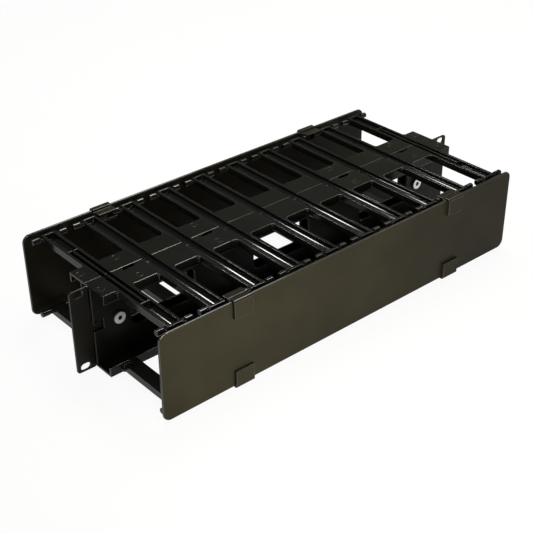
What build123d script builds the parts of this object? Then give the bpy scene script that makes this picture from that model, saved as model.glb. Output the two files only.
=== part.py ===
from build123d import *
import os

# Horizontal cable manager for a 19 inch rack, two rack units high and open to the front and to the rear.
# X runs along the rack face, Y from the front (-) to the rear (+), Z is up.
# The origin is at the middle of the face that the part stands on.

# Rack standard
panel_span = 482.6
unit_height = 44.45
unit_count = 2
ear_hole_inset = 8.75
ear_hole_drop = 6.35

# Overall sizes
depth = 215.2
ear_reach = 19.8
cover_overhang = 1.3
body_drop = 1.45
seam_y = 2.0
body_width = panel_span - 2 * ear_reach
cover_width = body_width + 2 * cover_overhang
cover_height = unit_count * unit_height
body_height = cover_height - 2 * body_drop

# Covers
cover_wall = 2.3
cover_corner = 8.0

# Combs: a flanged strip that carries ten gutter shaped fingers with T ends
finger_count = 10
finger_pitch = body_width / finger_count
finger_width = 16.0
end_finger_width = 15.2
finger_depth = 7.0
finger_wall = 2.8
finger_floor = 1.2
trough_side = 3.7
strip_reach = 26.5
strip_wall = 2.4
lip_drop = 9.5
lip_wall = 2.0
root_chamfer = 2.0
end_rib_wall = 2.2
end_rib_reach = 57.0
end_cross_wall = 1.2
bar_end_gap = 7.3
bar_length = finger_pitch - bar_end_gap
bar_size = 5.4
bar_chamfer = 1.4
knob_length = 7.5
knob_rise = 1.6
bar_gap = 5.3
seam_gap = 0.5
latch_slot_width = 13.0
latch_slot_depth = 4.2
latch_bay_index = (0, 2, 6, 8)
seat_length = 20.0
seat_wall = 1.8
seat_grip = 3.0
seat_bay_index = (1, 7)

# Webs
web_wall = 2.0
web_setback = 7.5
window_width = 73.0
window_height = 32.0
window_round = 6.0
window_end_wall = 40.0
window_pitch = (body_width - window_width) / 2 - window_end_wall
end_notch_width = 10.5
end_notch_height = 10.0
fit = 0.15
clearance = 0.3
overcut = 1.0
near = 0.01

# Ears and what ties the webs together
ear_wall = 2.0
ear_corner = 3.0
ear_slot_length = 10.0
ear_slot_width = 6.8
ear_tab_reach = 37.0
ear_tab_height = 40.0
ear_lug_width = 4.6
ear_lug_height = 2.4
ear_lug_proud = 0.8
tie_inset = 26.5
tie_x = body_width / 2 - tie_inset
tie_bore = 5.3
screw_size = 4.9
screw_head_size = 12.0
screw_head_height = 2.4
screw_socket = 4.0
screw_socket_depth = 1.8
spacer_across_flats = 9.0
nut_across_flats = 8.0
nut_height = 5.0
nut_bore = 5.0
screw_end = 2.0

# Clips: mouldings on the cover edges that hook over the bars of two neighbouring fingers
clip_width = 20.8
clip_shift = 2.6
clip_face_height = 18.4
clip_proud = 3.2
clip_wrap = 1.3
clip_chamfer = 1.5
clip_pad_wall = 1.4
clip_pad_drop = 7.0
clip_wall = 0.9
clip_low_wall = 2.0
clip_arm_reach = 3.4
clip_bridge_wall = 2.0
clip_bridge_drop = 1.3
clip_bay_index = (1, 7)

# Levels and places that follow
mid_z = cover_height / 2 + clip_wrap
half_body = body_height / 2
cover_outer_y = depth / 2
cover_inner_y = cover_outer_y - cover_wall
bar_y = cover_inner_y - bar_gap - bar_size / 2
bar_rise = half_body - bar_size / 2
bar_half = bar_size / 2
bar_corner = (bar_half ** 2 + (bar_half - bar_chamfer) ** 2) ** 0.5
hook_radius = bar_corner + fit
first_finger = -(finger_count - 1) / 2 * finger_pitch
finger_places = [first_finger + i * finger_pitch for i in range(finger_count)]
bay_places = [(a + b) / 2 for a, b in zip(finger_places, finger_places[1:])]
web_edge_rise = half_body - strip_wall
front_web_y = seam_y - web_setback
rear_web_y = seam_y + web_setback
ear_face_y = front_web_y + web_wall
ear_inner_x = body_width / 2 + 2 * clearance
ear_tab_end_x = ear_inner_x - ear_tab_reach


def box(x0, x1, y0, y1, z0, z1):
    """A block between two corners."""
    return Pos((x0 + x1) / 2, (y0 + y1) / 2, (z0 + z1) / 2) * Box(x1 - x0, y1 - y0, z1 - z0)


def along_y(section, start, length):
    """A section drawn in X and Z, run outwards along +Y from start."""
    plane = Plane(origin=(0, start, 0), x_dir=(1, 0, 0), z_dir=(0, -1, 0))
    return extrude(plane * section, amount=-length)


def along_x(section, width):
    """A section drawn in Y and Z, run along X to both sides of the middle."""
    return extrude(Plane.YZ * section, amount=width / 2, both=True)


def trough_section(width):
    """The hollow of a finger: short straight sides and a floor in one round sweep."""
    half = width / 2
    drop = finger_depth - finger_floor
    sides = Polyline((-half, -trough_side), (-half, strip_wall), (half, strip_wall), (half, -trough_side))
    floor = ThreePointArc((half, -trough_side), (0, -drop), (-half, -trough_side))
    return make_face(sides + floor)


def bar_section():
    """A square with its four corners cut off."""
    square = Rectangle(bar_size, bar_size)
    return chamfer(square.vertices(), bar_chamfer)


def width_of(i):
    """The end fingers are a little narrower than the others."""
    return end_finger_width if i in (0, finger_count - 1) else finger_width


def comb_sheet(strip_depth, head_end):
    """The flat outer skin: the strip and all its fingers in one outline, with eased roots."""
    outline = Pos(0, (strip_depth + seam_gap / 2) / 2) * Rectangle(body_width, strip_depth - seam_gap / 2)
    for i, x in enumerate(finger_places):
        outline += Pos(x, (strip_depth + head_end) / 2) * Rectangle(width_of(i), head_end - strip_depth)
    inner_half = body_width / 2 - overcut
    roots = [v for v in outline.vertices() if abs(v.Y - strip_depth) < near and abs(v.X) < inner_half]
    outline = chamfer(roots, root_chamfer)
    return extrude(outline, amount=-strip_wall)


def comb(strip_depth, bar_place, rib_reach, slot_index):
    """One comb, with its seam along the X axis, its fingers towards +Y and its outer face at Z = 0."""
    head_end = bar_place + bar_half
    start = seam_gap / 2
    half = body_width / 2
    groove_low = web_setback - web_wall - fit
    groove_high = web_setback + fit
    groove_drop = half_body - web_edge_rise
    sheet = comb_sheet(strip_depth, head_end)
    lip = box(-half, half, strip_depth - lip_wall, strip_depth, -lip_drop, -strip_wall / 2)
    bar = Pos(0, bar_place, -bar_half) * along_x(bar_section(), bar_length)
    solids = [lip]
    hollows = []
    for i, x in enumerate(finger_places):
        width = width_of(i)
        solids.append(box(x - width / 2, x + width / 2, start, head_end, -finger_depth, -strip_wall / 2))
        solids.append(Pos(x, 0, 0) * bar)
        for side in (-1, 1):
            dip_x = x + side * (bar_length / 2 - knob_length + width / 2) / 2
            dip_half = (bar_length / 2 - knob_length - width / 2) / 2
            hollows.append(box(dip_x - dip_half, dip_x + dip_half, bar_place - bar_size, head_end + overcut,
                               -knob_rise, overcut))
        trough = along_y(trough_section(width - 2 * finger_wall), -overcut, head_end - finger_wall + overcut)
        if i in (0, finger_count - 1):
            trough -= box(-end_rib_wall / 2, end_rib_wall / 2, -2 * overcut, rib_reach,
                          -finger_depth, strip_wall * 2)
            trough -= box(-width / 2, width / 2, rib_reach - end_cross_wall, rib_reach,
                          -finger_depth, strip_wall * 2)
        hollows += [Pos(x, 0, 0) * lane for lane in trough.solids()]
    for i in slot_index:
        x = bay_places[i]
        hollows.append(box(x - latch_slot_width / 2, x + latch_slot_width / 2, 0, latch_slot_depth,
                           -strip_wall, 0))
    for i in seat_bay_index:
        low_x = bay_places[i] - seat_length / 2
        high_x = low_x + seat_length
        seat_drop = groove_drop + seat_grip
        solids.append(box(low_x, high_x, groove_low - seat_wall, groove_high + seat_wall,
                          -seat_drop, -strip_wall / 2))
        hollows.append(box(low_x, high_x, groove_low, groove_high, -seat_drop, -groove_drop))
    return sheet + solids - hollows


def place_comb(solid, to_rear, at_top):
    """Turns a comb to the front or the rear and to the top or the bottom of the body."""
    if not to_rear:
        solid = mirror(solid, about=Plane.XZ)
    solid = Pos(0, seam_y, 0) * solid
    if at_top:
        return Pos(0, 0, mid_z + half_body) * solid
    return Pos(0, 0, mid_z - half_body) * mirror(solid, about=Plane.XY)


def web(face_y, inner_y):
    """A flat steel web with three pass-through windows, held by its long edges in the combs' seats."""
    low = mid_z - web_edge_rise
    high = mid_z + web_edge_rise
    body = box(-body_width / 2, body_width / 2, min(face_y, inner_y), max(face_y, inner_y), low, high)
    middle_y = (face_y + inner_y) / 2
    hole = Plane.XZ * RectangleRounded(window_width, window_height, window_round)
    for x in (-window_pitch, 0, window_pitch):
        body -= Pos(x, middle_y, mid_z) * extrude(hole, amount=web_wall, both=True)
    notch_drop = finger_depth - strip_wall + clearance
    notch_half = finger_width / 2 + clearance
    for x in finger_places:
        for z0, z1 in ((high - notch_drop, high), (low, low + notch_drop)):
            body -= box(x - notch_half, x + notch_half, middle_y - web_wall, middle_y + web_wall, z0, z1)
    for side in (-1, 1):
        body -= Pos(side * tie_x, middle_y, mid_z) * Rot(90, 0, 0) * Cylinder(tie_bore / 2, 2 * web_wall)
        end = side * body_width / 2
        inner = end - side * end_notch_width
        body -= box(min(end, inner), max(end, inner), middle_y - web_wall, middle_y + web_wall,
                    mid_z - end_notch_height / 2, mid_z + end_notch_height / 2)
    return body


def ear(side):
    """A flat steel ear: the rack flange outside the body, and a tab that lies behind the front web."""
    outer = panel_span / 2
    flange_width = outer - ear_inner_x
    flange = Pos((outer + ear_inner_x) / 2, 0) * RectangleRounded(flange_width, body_height, ear_corner)
    flange += Pos(ear_inner_x + ear_corner / 2, 0) * Rectangle(ear_corner, body_height)
    tab_length = ear_tab_reach + ear_corner
    flange += Pos(ear_tab_end_x + tab_length / 2, 0) * Rectangle(tab_length, ear_tab_height)
    hole_z = cover_height / 2 - ear_hole_drop
    for z in (-hole_z, hole_z):
        flange -= Pos(outer - ear_hole_inset, z) * SlotOverall(ear_slot_length, ear_slot_width)
    flange -= Pos(tie_x, 0) * Circle(tie_bore / 2)
    plane = Plane(origin=(0, ear_face_y, mid_z), x_dir=(1, 0, 0), z_dir=(0, -1, 0))
    body = extrude(plane * flange, amount=-ear_wall)
    lug_outer = body_width / 2 - clearance
    lug_top = mid_z + end_notch_height / 2 - clearance
    body += box(lug_outer - ear_lug_width, lug_outer, front_web_y - ear_lug_proud, ear_face_y + fit,
                lug_top - ear_lug_height, lug_top)
    if side < 0:
        body = mirror(body, about=Plane.YZ)
    return body


def cover():
    """A flat cover plate with rounded corners, standing at the middle of the frame."""
    plate = RectangleRounded(cover_width, cover_height, cover_corner)
    return extrude(Plane.XZ * plate, amount=cover_wall / 2, both=True)


def clip():
    """One clip, drawn round the bar axis with +Y outwards and +Z towards the cover's near edge."""
    inner = cover_inner_y - bar_y
    outer = inner + cover_wall
    edge = cover_height / 2 - bar_rise
    top = edge + clip_wrap
    face = box(-clip_width / 2, clip_width / 2, outer, outer + clip_proud, top - clip_face_height, top)
    wrap = box(-clip_width / 2, clip_width / 2, inner - clip_pad_wall, outer + clip_proud, edge, top)
    pad = box(-clip_width / 2, clip_width / 2, inner - clip_pad_wall, inner, edge - clip_pad_drop, top)
    block_top = hook_radius + clip_wall
    bridge_top = block_top - clip_bridge_drop
    bridge = box(-clip_width / 2, clip_width / 2, 0, inner - clip_pad_wall / 2,
                 bridge_top - clip_bridge_wall, bridge_top)
    back = hook_radius + clip_wall
    block_low = hook_radius + clip_low_wall
    hook = box(-clip_width / 2, clip_width / 2, -clip_arm_reach, back, -block_low, block_top)
    body = face + wrap + pad + bridge + hook
    body -= Rot(0, 90, 0) * Cylinder(hook_radius, clip_width)
    body -= box(-clip_width / 2, clip_width / 2, -clip_arm_reach, 0, -hook_radius, hook_radius)
    outer_y = outer + clip_proud
    long_edges = body.edges().filter_by(Axis.X)
    crest = long_edges.filter_by(
        lambda e: abs(e.center().Y - outer_y) < near and abs(e.center().Z - top) < near
    )
    return chamfer(crest, clip_chamfer)


def place_clip(solid, x, to_rear, at_top):
    """Sets a clip on the top or bottom edge of the front or rear cover."""
    if not to_rear:
        solid = mirror(solid, about=Plane.XZ)
    if not at_top:
        solid = mirror(solid, about=Plane.XY)
    y = bar_y if to_rear else -bar_y
    z = mid_z + bar_rise if at_top else mid_z - bar_rise
    return Pos(x, y, z) * solid


def tie_screw():
    """A flanged button head screw with its head towards -Y, seated on the front web."""
    length = rear_web_y - front_web_y + nut_height + screw_end
    bottom = (Align.CENTER, Align.CENTER, Align.MIN)
    head = Rot(90, 0, 0) * Cylinder(screw_head_size / 2, screw_head_height, align=bottom)
    shank = Rot(-90, 0, 0) * Cylinder(screw_size / 2, length, align=bottom)
    body = head + shank
    socket = Plane(origin=(0, -screw_head_height, 0), x_dir=(1, 0, 0), z_dir=(0, -1, 0))
    hexagon = RegularPolygon(screw_socket / 2, 6, major_radius=False)
    return body - extrude(socket * hexagon, amount=-screw_socket_depth)


def tie_spacer():
    """A hexagon spacer that keeps the ear tab and the rear web apart."""
    plane = Plane(origin=(0, ear_face_y + ear_wall, 0), x_dir=(1, 0, 0), z_dir=(0, 1, 0))
    length = rear_web_y - web_wall - ear_face_y - ear_wall
    body = extrude(plane * RegularPolygon(spacer_across_flats / 2, 6, major_radius=False), amount=length)
    return body - extrude(plane * Circle(tie_bore / 2), amount=length)


def tie_nut():
    """A hexagon nut on the rear web."""
    plane = Plane(origin=(0, rear_web_y, 0), x_dir=(1, 0, 0), z_dir=(0, 1, 0))
    body = extrude(plane * RegularPolygon(nut_across_flats / 2, 6, major_radius=False), amount=nut_height)
    return body - extrude(plane * Circle(nut_bore / 2), amount=nut_height)


def pair(solid):
    """Two like pieces, one at each end of the webs."""
    return Compound(children=[Pos(-tie_x, 0, mid_z) * solid, Pos(tie_x, 0, mid_z) * solid])


nodes = {}

front_comb = comb(strip_reach + seam_y, bar_y + seam_y, end_rib_reach + seam_y, latch_bay_index)
rear_comb = comb(strip_reach - seam_y, bar_y - seam_y, end_rib_reach - seam_y, ())
nodes["top_front_comb"] = place_comb(front_comb, False, True)
nodes["bottom_front_comb"] = place_comb(front_comb, False, False)
nodes["top_rear_comb"] = place_comb(rear_comb, True, True)
nodes["bottom_rear_comb"] = place_comb(rear_comb, True, False)

nodes["front_web"] = web(front_web_y, front_web_y + web_wall)
nodes["rear_web"] = web(rear_web_y, rear_web_y - web_wall)
nodes["left_ear"] = ear(-1)
nodes["right_ear"] = ear(1)

nodes["tie_screws"] = pair(Pos(0, front_web_y, 0) * tie_screw())
nodes["tie_spacers"] = pair(tie_spacer())
nodes["tie_nuts"] = pair(tie_nut())

plate_y = cover_outer_y - cover_wall / 2
nodes["front_cover"] = Pos(0, -plate_y, mid_z) * cover()
nodes["rear_cover"] = Pos(0, plate_y, mid_z) * cover()
clip_solid = clip()
for to_rear, cover_name in ((False, "front"), (True, "rear")):
    for at_top, edge_name in ((True, "top"), (False, "bottom")):
        for bay, side_name in zip(clip_bay_index, ("left", "right")):
            name = f"{cover_name}_cover_{edge_name}_{side_name}_clip"
            shift = -clip_shift if side_name == "left" else clip_shift
            nodes[name] = place_clip(clip_solid, bay_places[bay] + shift, to_rear, at_top)

os.makedirs("parts", exist_ok=True)
for name, solid in nodes.items():
    export_step(solid, f"parts/{name}.step")
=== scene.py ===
import math

import bmesh
import bpy
from mathutils import Matrix, Vector


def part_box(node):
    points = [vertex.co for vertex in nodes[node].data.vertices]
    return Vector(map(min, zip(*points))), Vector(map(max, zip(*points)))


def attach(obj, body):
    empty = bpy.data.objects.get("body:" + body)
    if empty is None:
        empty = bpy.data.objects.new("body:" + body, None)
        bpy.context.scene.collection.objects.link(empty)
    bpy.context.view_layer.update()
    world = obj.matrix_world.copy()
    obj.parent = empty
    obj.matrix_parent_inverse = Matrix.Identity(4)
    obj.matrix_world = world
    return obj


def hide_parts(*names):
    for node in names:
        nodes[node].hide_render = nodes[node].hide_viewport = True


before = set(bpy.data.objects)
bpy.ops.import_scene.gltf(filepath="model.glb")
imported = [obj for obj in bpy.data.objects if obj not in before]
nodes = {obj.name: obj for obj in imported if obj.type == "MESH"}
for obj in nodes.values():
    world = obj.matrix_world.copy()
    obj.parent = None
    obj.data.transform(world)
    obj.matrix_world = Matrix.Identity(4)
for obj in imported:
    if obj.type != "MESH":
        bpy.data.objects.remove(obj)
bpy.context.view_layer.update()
scene = bpy.context.scene

# Camera
# The view of the photograph, from the front left and above, with a slight roll.
# Its angles, its place and its focal length come from the rack's standard sizes.
camera_turn = math.radians(-40.57)
camera_height = math.radians(31.60)
camera_roll = math.radians(-0.56)
camera_place = (-0.62604, -0.71286, 0.59984)
focal_length_px = 1102.34
picture_width_px = 533.0


def set_in_place(thing, right, up, back, place):
    """Stands a camera or a lamp at a place, turned so that it looks away from its back."""
    thing.matrix_world = Matrix((
        (right.x, up.x, back.x, place[0]),
        (right.y, up.y, back.y, place[1]),
        (right.z, up.z, back.z, place[2]),
        (0.0, 0.0, 0.0, 1.0),
    ))


camera_data = bpy.data.cameras.new("camera")
camera_data.sensor_width = 36.0
camera_data.lens = camera_data.sensor_width * focal_length_px / picture_width_px
camera_data.clip_end = 50.0
camera = bpy.data.objects.new("camera", camera_data)
scene.collection.objects.link(camera)
look_back = Vector((math.sin(camera_turn) * math.cos(camera_height),
                    -math.cos(camera_turn) * math.cos(camera_height), math.sin(camera_height)))
level_right = Vector((math.cos(camera_turn), math.sin(camera_turn), 0.0))
level_up = look_back.cross(level_right)
rolled_right = math.cos(camera_roll) * level_right + math.sin(camera_roll) * level_up
rolled_up = -math.sin(camera_roll) * level_right + math.cos(camera_roll) * level_up
set_in_place(camera, rolled_right, rolled_up, look_back, camera_place)
scene.camera = camera
scene.view_settings.view_transform = "Standard"

# Studio
# A white sweep under a dim ceiling, with a long lamp overhead on the right, which draws the bright lines
# along the edges, and a small low one behind the part, which draws those in the gutters.
# Three soft lamps fill in from the right, from high above and from the front.

# Each step of the sky is a height and a colour, from the white horizon up to the dim ceiling.
sky_steps = (
    (0.10, (1.0, 1.0, 1.0)),
    (0.28, (0.22, 0.21, 0.16)),
    (0.42, (0.09, 0.088, 0.066)),
    (0.55, (0.045, 0.047, 0.05)),
)
world = bpy.data.worlds.new("studio")
scene.world = world
world.use_nodes = True
sky = world.node_tree
sky.nodes.clear()
sky_place = sky.nodes.new("ShaderNodeTexCoord")
sky_split = sky.nodes.new("ShaderNodeSeparateXYZ")
sky_ramp = sky.nodes.new("ShaderNodeValToRGB")
sky_light = sky.nodes.new("ShaderNodeBackground")
sky_out = sky.nodes.new("ShaderNodeOutputWorld")
sky_stops = sky_ramp.color_ramp.elements
sky_stops[0].position = sky_steps[0][0]
sky_stops[1].position = sky_steps[-1][0]
for step_height, step_colour in sky_steps[1:-1]:
    sky_stops.new(step_height)
for sky_stop, (step_height, step_colour) in zip(sky_stops, sky_steps):
    sky_stop.color = step_colour + (1.0,)
sky.links.new(sky_place.outputs["Generated"], sky_split.inputs[0])
sky.links.new(sky_split.outputs["Z"], sky_ramp.inputs["Fac"])
sky.links.new(sky_ramp.outputs["Color"], sky_light.inputs["Color"])
sky.links.new(sky_light.outputs["Background"], sky_out.inputs["Surface"])

floor_reach = 12.0
floor_whiteness = 0.93
floor_corners = [(x * floor_reach, y * floor_reach, 0.0) for x, y in ((-1, -1), (1, -1), (1, 1), (-1, 1))]
floor_mesh = bpy.data.meshes.new("floor")
floor_mesh.from_pydata(floor_corners, [], [(0, 1, 2, 3)])
floor = bpy.data.objects.new("floor", floor_mesh)
scene.collection.objects.link(floor)
floor_paint = bpy.data.materials.new("pale_floor")
floor_paint.use_nodes = True
floor_tree = floor_paint.node_tree
floor_tree.nodes.clear()
floor_out = floor_tree.nodes.new("ShaderNodeOutputMaterial")
floor_matt = floor_tree.nodes.new("ShaderNodeBsdfDiffuse")
floor_matt.inputs["Color"].default_value = (0.88, 0.86, 0.82, 1.0)
floor_white = floor_tree.nodes.new("ShaderNodeEmission")
floor_white.inputs["Color"].default_value = (1.0, 1.0, 1.0, 1.0)
floor_mix = floor_tree.nodes.new("ShaderNodeMixShader")
floor_path = floor_tree.nodes.new("ShaderNodeLightPath")
floor_mirrored = floor_tree.nodes.new("ShaderNodeMath")
floor_mirrored.operation = "ADD"
floor_seen = floor_tree.nodes.new("ShaderNodeMath")
floor_seen.operation = "ADD"
floor_seen.use_clamp = True
floor_share = floor_tree.nodes.new("ShaderNodeMath")
floor_share.operation = "MULTIPLY"
floor_share.inputs[1].default_value = floor_whiteness
floor_tree.links.new(floor_path.outputs["Is Camera Ray"], floor_mirrored.inputs[0])
floor_tree.links.new(floor_path.outputs["Is Glossy Ray"], floor_mirrored.inputs[1])
floor_tree.links.new(floor_mirrored.outputs[0], floor_seen.inputs[0])
floor_tree.links.new(floor_path.outputs["Is Transmission Ray"], floor_seen.inputs[1])
floor_tree.links.new(floor_seen.outputs[0], floor_share.inputs[0])
floor_tree.links.new(floor_share.outputs[0], floor_mix.inputs["Fac"])
floor_tree.links.new(floor_matt.outputs[0], floor_mix.inputs[1])
floor_tree.links.new(floor_white.outputs[0], floor_mix.inputs[2])
floor_tree.links.new(floor_mix.outputs[0], floor_out.inputs["Surface"])
floor_mesh.materials.append(floor_paint)


def soft_lamp(name, place, width, depth, power, colour=(1.0, 1.0, 1.0), aim=None):
    """A rectangular lamp with its width along X, which faces straight down or towards a point."""
    data = bpy.data.lights.new(name, "AREA")
    data.shape = "RECTANGLE"
    data.size = width
    data.size_y = depth
    data.energy = power
    data.color = colour
    lamp = bpy.data.objects.new(name, data)
    scene.collection.objects.link(lamp)
    target = aim or (place[0], place[1], 0.0)
    back = (Vector(place) - Vector(target)).normalized()
    across = Vector((1.0, 0.0, 0.0))
    set_in_place(lamp, across, back.cross(across), back, place)


soft_lamp("strip_lamp", (0.38, 0.235, 1.05), width=0.40, depth=0.77, power=10.5)
soft_lamp("near_lamp", (-0.10, 0.283, 0.49), width=0.09, depth=0.06, power=0.32)
soft_lamp("side_lamp", (0.88, 0.10, 1.05), width=0.55, depth=0.5, power=3.0, colour=(1.0, 0.97, 0.82))
soft_lamp("sky_lamp", (0.0, 0.0, 2.4), width=2.4, depth=2.4, power=14.0)
soft_lamp("front_lamp", (-0.15, -0.44, 0.085), width=0.2, depth=0.1, power=1.75,
          colour=(1.0, 0.95, 0.82), aim=(-0.15, -0.1, 0.045))

# Combs
# Four mouldings in black plastic: strips that carry ten gutter shaped fingers with T ends.
# Their tool is finely textured on the flat faces, and polished along the edges and in the gutters.
comb_round = 0.0006
finger_count = 10
comb_low, comb_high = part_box("top_front_comb")

# The frame holds its lengths in short numbers, so the pitch is rounded to a micrometre.
finger_pitch = round((comb_high.x - comb_low.x) / finger_count, 6)
finger_places = [(i - (finger_count - 1) / 2) * finger_pitch for i in range(finger_count)]

# Every rounded piece has its own finish first and that of its edges second.
edge_slot = 1

# The two lanes of each end finger are narrow, so the rounds stay smaller from here outwards.
narrow_lanes_from = 0.19


def moulded_plastic(name, colour, rough, grain, shine, refraction):
    """Black moulded plastic: a fine texture, faint cloudiness and a soft sheen."""
    cloudiness = 0.15
    rough_swing = 0.04
    material = bpy.data.materials.new(name)
    material.use_nodes = True
    tree = material.node_tree
    shader = tree.nodes["Principled BSDF"]
    shader.inputs["Specular IOR Level"].default_value = shine
    shader.inputs["IOR"].default_value = refraction
    place = tree.nodes.new("ShaderNodeTexCoord")
    clouds = tree.nodes.new("ShaderNodeTexNoise")
    clouds.inputs["Scale"].default_value = 22.0
    clouds.inputs["Detail"].default_value = 4.0
    tint = tree.nodes.new("ShaderNodeValToRGB")
    dark, light = tint.color_ramp.elements
    dark.position = 0.3
    dark.color = tuple(part * (1.0 - cloudiness) for part in colour) + (1.0,)
    light.position = 0.7
    light.color = tuple(part * (1.0 + cloudiness) for part in colour) + (1.0,)
    gloss = tree.nodes.new("ShaderNodeMapRange")
    gloss.inputs["To Min"].default_value = rough - rough_swing
    gloss.inputs["To Max"].default_value = rough + rough_swing
    texture = tree.nodes.new("ShaderNodeTexNoise")
    texture.inputs["Scale"].default_value = 1400.0
    texture.inputs["Detail"].default_value = 2.0
    bump = tree.nodes.new("ShaderNodeBump")
    bump.inputs["Strength"].default_value = grain
    bump.inputs["Distance"].default_value = 0.00008
    tree.links.new(place.outputs["Object"], clouds.inputs["Vector"])
    tree.links.new(clouds.outputs["Fac"], tint.inputs["Fac"])
    tree.links.new(tint.outputs["Color"], shader.inputs["Base Color"])
    tree.links.new(clouds.outputs["Fac"], gloss.inputs["Value"])
    tree.links.new(gloss.outputs["Result"], shader.inputs["Roughness"])
    tree.links.new(place.outputs["Object"], texture.inputs["Vector"])
    tree.links.new(texture.outputs["Fac"], bump.inputs["Height"])
    tree.links.new(bump.outputs["Normal"], shader.inputs["Normal"])
    return material


def finished_mesh(piece):
    """The mesh that a piece's modifier makes. The modifier is removed."""
    bpy.context.view_layer.update()
    evaluated = piece.evaluated_get(bpy.context.evaluated_depsgraph_get())
    finished = bpy.data.meshes.new_from_object(evaluated)
    piece.modifiers.clear()
    return finished


def room_beside(edge):
    """The length of the shortest edge that turns off from this one. Its round can't use more of it."""
    in_line = 0.85
    course = (edge.verts[1].co - edge.verts[0].co).normalized()
    room = 1.0
    for corner in edge.verts:
        for other in corner.link_edges:
            way = (other.verts[1].co - other.verts[0].co).normalized()
            if other is not edge and abs(way.dot(course)) < in_line:
                room = min(room, other.calc_length())
    return room


def eased_copy(node, name, round_size, material, edge_material, cuts=(), narrow_from=1.0):
    """The same solid with rounded edges, as a mesh of its own. Cuts across X part its wide flat faces."""
    round_steps = 2
    same_point = 2e-6
    on_the_cut = 1e-7
    flat_angle = math.radians(0.6)
    sharp_angle = math.radians(28.0)
    usable_room = 0.42
    narrow_room = 0.0007
    mesh = nodes[node].data.copy()
    mesh.materials.clear()
    mesh.materials.append(material)
    mesh.materials.append(edge_material)
    work = bmesh.new()
    work.from_mesh(mesh)
    bmesh.ops.remove_doubles(work, verts=work.verts, dist=same_point)
    bmesh.ops.dissolve_limit(work, angle_limit=flat_angle, verts=work.verts, edges=work.edges)
    for face in work.faces:
        face.smooth = True
    for cut in cuts:
        whole = work.verts[:] + work.edges[:] + work.faces[:]
        bmesh.ops.bisect_plane(work, geom=whole, dist=on_the_cut,
                               plane_co=(cut, 0.0, 0.0), plane_no=(1.0, 0.0, 0.0))
    weight = work.edges.layers.float.new("bevel_weight_edge")
    for edge in work.edges:
        if len(edge.link_faces) != 2 or edge.calc_face_angle(0.0) < sharp_angle:
            continue
        room = room_beside(edge)
        if abs(edge.verts[0].co.x + edge.verts[1].co.x) / 2 > narrow_from:
            room = min(room, narrow_room)
        edge[weight] = min(1.0, usable_room * room / round_size)
    work.to_mesh(mesh)
    work.free()
    if mesh.attributes.get("custom_normal"):
        mesh.attributes.remove(mesh.attributes["custom_normal"])
    piece = bpy.data.objects.new(name, mesh)
    scene.collection.objects.link(piece)
    rounding = piece.modifiers.new("rounding", "BEVEL")
    rounding.width = round_size
    rounding.segments = round_steps
    rounding.limit_method = "WEIGHT"
    rounding.harden_normals = True
    rounding.use_clamp_overlap = False
    rounding.material = edge_slot
    piece.data = finished_mesh(piece)
    piece.data.name = name
    return piece


def polish_gutters(comb):
    """Gives the round floors of the gutters, which run along Y, the look of the polished edges."""
    along_y = 0.05
    nearly_level = 0.08
    nearly_upright = 0.995
    for face in comb.data.polygons:
        if abs(face.normal.y) < along_y and nearly_level < abs(face.normal.x) < nearly_upright:
            face.material_index = edge_slot


comb_plastic = moulded_plastic("comb_plastic", colour=(0.0124, 0.0121, 0.0098), rough=0.13, grain=0.03,
                               shine=0.5, refraction=1.22)
polished_edge = moulded_plastic("polished_edge", colour=(0.0095, 0.0096, 0.0086), rough=0.1, grain=0.0,
                                shine=1.0, refraction=1.45)
for node in ("top_front_comb", "bottom_front_comb", "top_rear_comb", "bottom_rear_comb"):
    comb = eased_copy(node, node + "_moulding", comb_round, comb_plastic, polished_edge,
                      cuts=finger_places, narrow_from=narrow_lanes_from)
    polish_gutters(comb)
    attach(comb, "frame")
    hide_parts(node)

# Ejector marks
# Pins push each comb out of its mould and leave shallow raised rings on the outer face of the strip.
# Each comb has six of them: one at each end, and one in each of four bays between the fingers.
ring_size = 0.0034
ring_steps = 40
bead_size = 0.00016
bead_steps = 8
end_mark_inset = 0.0054

# How far the marks lie from the seam between the front and the rear combs.
end_mark_to_front = 0.0171
end_mark_to_rear = 0.0155
bay_mark_to_front = 0.0198
bay_mark_to_rear = 0.0184

seam_place = (comb_high.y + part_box("top_rear_comb")[0].y) / 2
top_face = comb_high.z
bottom_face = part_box("bottom_front_comb")[0].z
end_mark_place = comb_high.x - end_mark_inset
bay_mark_places = (4 * finger_pitch, 2 * finger_pitch)
front_rows = (seam_place - end_mark_to_front, seam_place - bay_mark_to_front)
rear_rows = (seam_place + end_mark_to_rear, seam_place + bay_mark_to_rear)
mark_places = []
for face_height in (top_face, bottom_face):
    for end_row, bay_row in (front_rows, rear_rows):
        for side in (-1, 1):
            mark_places.append((side * end_mark_place, end_row, face_height))
            for bay_mark_place in bay_mark_places:
                mark_places.append((side * bay_mark_place, bay_row, face_height))
mark_mesh = bpy.data.meshes.new("ejector_places")
mark_mesh.from_pydata(mark_places, [], [])
marks = bpy.data.objects.new("ejector_marks", mark_mesh)
scene.collection.objects.link(marks)

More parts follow.
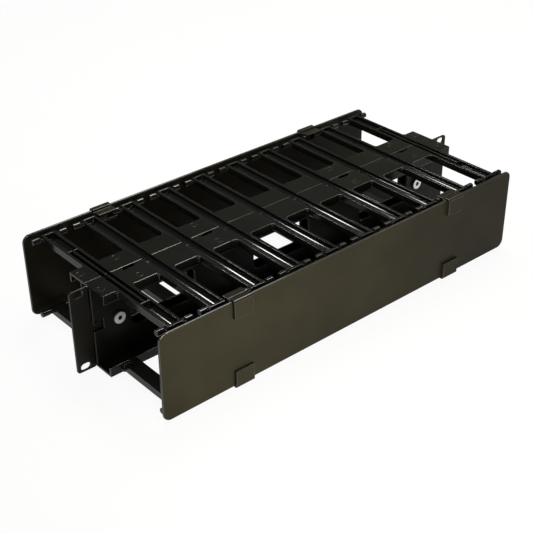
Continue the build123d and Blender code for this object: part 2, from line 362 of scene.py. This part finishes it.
ring_tree = bpy.data.node_groups.new("ring_on_points", "GeometryNodeTree")
ring_sockets = ring_tree.interface
ring_sockets.new_socket("Places", in_out="INPUT", socket_type="NodeSocketGeometry")
ring_radius = ring_sockets.new_socket("Ring radius", in_out="INPUT", socket_type="NodeSocketFloat")
bead_radius = ring_sockets.new_socket("Bead radius", in_out="INPUT", socket_type="NodeSocketFloat")
ring_finish = ring_sockets.new_socket("Ring finish", in_out="INPUT", socket_type="NodeSocketMaterial")
ring_sockets.new_socket("Rings", in_out="OUTPUT", socket_type="NodeSocketGeometry")
ring_in = ring_tree.nodes.new("NodeGroupInput")
ring_out = ring_tree.nodes.new("NodeGroupOutput")
ring_path = ring_tree.nodes.new("GeometryNodeCurvePrimitiveCircle")
ring_path.inputs["Resolution"].default_value = ring_steps
bead_round = ring_tree.nodes.new("GeometryNodeCurvePrimitiveCircle")
bead_round.inputs["Resolution"].default_value = bead_steps
ring_sweep = ring_tree.nodes.new("GeometryNodeCurveToMesh")
ring_copies = ring_tree.nodes.new("GeometryNodeInstanceOnPoints")
ring_real = ring_tree.nodes.new("GeometryNodeRealizeInstances")
ring_coat = ring_tree.nodes.new("GeometryNodeSetMaterial")
ring_tree.links.new(ring_in.outputs["Ring radius"], ring_path.inputs["Radius"])
ring_tree.links.new(ring_in.outputs["Bead radius"], bead_round.inputs["Radius"])
ring_tree.links.new(ring_path.outputs["Curve"], ring_sweep.inputs["Curve"])
ring_tree.links.new(bead_round.outputs["Curve"], ring_sweep.inputs["Profile Curve"])
ring_tree.links.new(ring_in.outputs["Places"], ring_copies.inputs["Points"])
ring_tree.links.new(ring_sweep.outputs["Mesh"], ring_copies.inputs["Instance"])
ring_tree.links.new(ring_copies.outputs["Instances"], ring_real.inputs["Geometry"])
ring_tree.links.new(ring_real.outputs["Geometry"], ring_coat.inputs["Geometry"])
ring_tree.links.new(ring_in.outputs["Ring finish"], ring_coat.inputs["Material"])
ring_tree.links.new(ring_coat.outputs["Geometry"], ring_out.inputs["Rings"])
ring_modifier = marks.modifiers.new("rings", "NODES")
ring_modifier.node_group = ring_tree
ring_modifier[ring_radius.identifier] = ring_size
ring_modifier[bead_radius.identifier] = bead_size
ring_modifier[ring_finish.identifier] = polished_edge
marks.data = finished_mesh(marks)
mark_work = bmesh.new()
mark_work.from_mesh(marks.data)
bmesh.ops.recalc_face_normals(mark_work, faces=mark_work.faces)
for face in mark_work.faces:
    face.smooth = True
mark_work.to_mesh(marks.data)
mark_work.free()
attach(marks, "frame")

# Webs and ears
# Two steel plates stand on edge between the combs, and a steel ear at each end carries the rack's slots.
# All four are powder coated black, and their edges show a narrow shine.
plate_round = 0.0003


def powder_coat(name, colour):
    """Black powder coat over steel: a fine orange peel and a low gloss."""
    material = bpy.data.materials.new(name)
    material.use_nodes = True
    tree = material.node_tree
    shader = tree.nodes["Principled BSDF"]
    shader.inputs["Base Color"].default_value = colour + (1.0,)
    shader.inputs["IOR"].default_value = 1.16
    place = tree.nodes.new("ShaderNodeTexCoord")
    peel = tree.nodes.new("ShaderNodeTexNoise")
    peel.inputs["Scale"].default_value = 700.0
    peel.inputs["Detail"].default_value = 3.0
    bump = tree.nodes.new("ShaderNodeBump")
    bump.inputs["Strength"].default_value = 0.5
    bump.inputs["Distance"].default_value = 0.00015
    gloss = tree.nodes.new("ShaderNodeMapRange")
    gloss.inputs["To Min"].default_value = 0.3
    gloss.inputs["To Max"].default_value = 0.42
    tree.links.new(place.outputs["Object"], peel.inputs["Vector"])
    tree.links.new(peel.outputs["Fac"], bump.inputs["Height"])
    tree.links.new(bump.outputs["Normal"], shader.inputs["Normal"])
    tree.links.new(peel.outputs["Fac"], gloss.inputs["Value"])
    tree.links.new(gloss.outputs["Result"], shader.inputs["Roughness"])
    return material


black_paint = powder_coat("black_paint", colour=(0.0110, 0.0108, 0.0088))
for node in ("front_web", "rear_web", "left_ear", "right_ear"):
    plate = eased_copy(node, node + "_plate", plate_round, black_paint, polished_edge)
    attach(plate, "frame")
    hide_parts(node)

# Ties
# A flanged screw, a spacer and a nut at each end hold an ear and both webs together.
# They are zinc plated steel, and the hexagon sockets of the screws are painted nearly black inside, as
# painted shade in their recesses.
tie_round = 0.0002
screw_head_radius = 0.006

# The socket's faces lie within a little more than its radius and its depth, just behind the head's face.
socket_radius = 0.0025
socket_end = 0.0022
socket_start = 0.0001

screw_low, screw_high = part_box("tie_screws")
screw_place = screw_high.x - screw_head_radius
screw_height = (screw_low.z + screw_high.z) / 2


def zinc_plate(name):
    """Zinc plated steel: a grey metal with fine turning marks."""
    material = bpy.data.materials.new(name)
    material.use_nodes = True
    tree = material.node_tree
    shader = tree.nodes["Principled BSDF"]
    shader.inputs["Base Color"].default_value = (0.62, 0.61, 0.58, 1.0)
    shader.inputs["Metallic"].default_value = 1.0
    place = tree.nodes.new("ShaderNodeTexCoord")
    turning = tree.nodes.new("ShaderNodeTexNoise")
    turning.inputs["Scale"].default_value = 900.0
    gloss = tree.nodes.new("ShaderNodeMapRange")
    gloss.inputs["To Min"].default_value = 0.28
    gloss.inputs["To Max"].default_value = 0.5
    tree.links.new(place.outputs["Object"], turning.inputs["Vector"])
    tree.links.new(turning.outputs["Fac"], gloss.inputs["Value"])
    tree.links.new(gloss.outputs["Result"], shader.inputs["Roughness"])
    return material


def paint_socket_shade(screws, dark):
    """Gives the walls and the floor of both hexagon sockets a near black finish of their own: painted
    shade in the recess.
    """
    screws.data.materials[edge_slot] = dark
    for face in screws.data.polygons:
        behind_front = face.center.y - screw_low.y
        off_axis = math.hypot(abs(face.center.x) - screw_place, face.center.z - screw_height)
        in_socket = socket_start < behind_front < socket_end and off_axis < socket_radius
        face.material_index = edge_slot if in_socket else 0


steel = zinc_plate("steel")
# The socket finish is painted shade: a near black plastic that stands in for the shadow deep inside each
# socket.
socket_painted_shade = moulded_plastic("socket_painted_shade", colour=(0.012, 0.012, 0.012), rough=0.5, grain=0.1,
                              shine=0.5, refraction=1.3)
for node in ("tie_screws", "tie_spacers", "tie_nuts"):
    fixing = eased_copy(node, node + "_set", tie_round, steel, steel)
    if node == "tie_screws":
        paint_socket_shade(fixing, socket_painted_shade)
    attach(fixing, "frame")
    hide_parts(node)

# Covers and clips
# A flat moulded cover closes each side, and four clips on its long edges hook over the combs' bars.
# They are black plastic too, with duller and browner faces than the combs and the same shiny edges.
cover_round = 0.0007
clip_round = 0.0004
cover_plastic = moulded_plastic("cover_plastic", colour=(0.021, 0.0192, 0.0118), rough=0.32, grain=0.12,
                                shine=0.5, refraction=1.12)
for side in ("front", "rear"):
    body = side + "_cover_body"
    plate = eased_copy(side + "_cover", side + "_cover_plate", cover_round, cover_plastic, polished_edge)
    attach(plate, body)
    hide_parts(side + "_cover")
    for edge in ("top", "bottom"):
        for end in ("left", "right"):
            node = f"{side}_cover_{edge}_{end}_clip"
            clip = eased_copy(node, node + "_moulding", clip_round, cover_plastic, polished_edge)
            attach(clip, body)
            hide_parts(node)
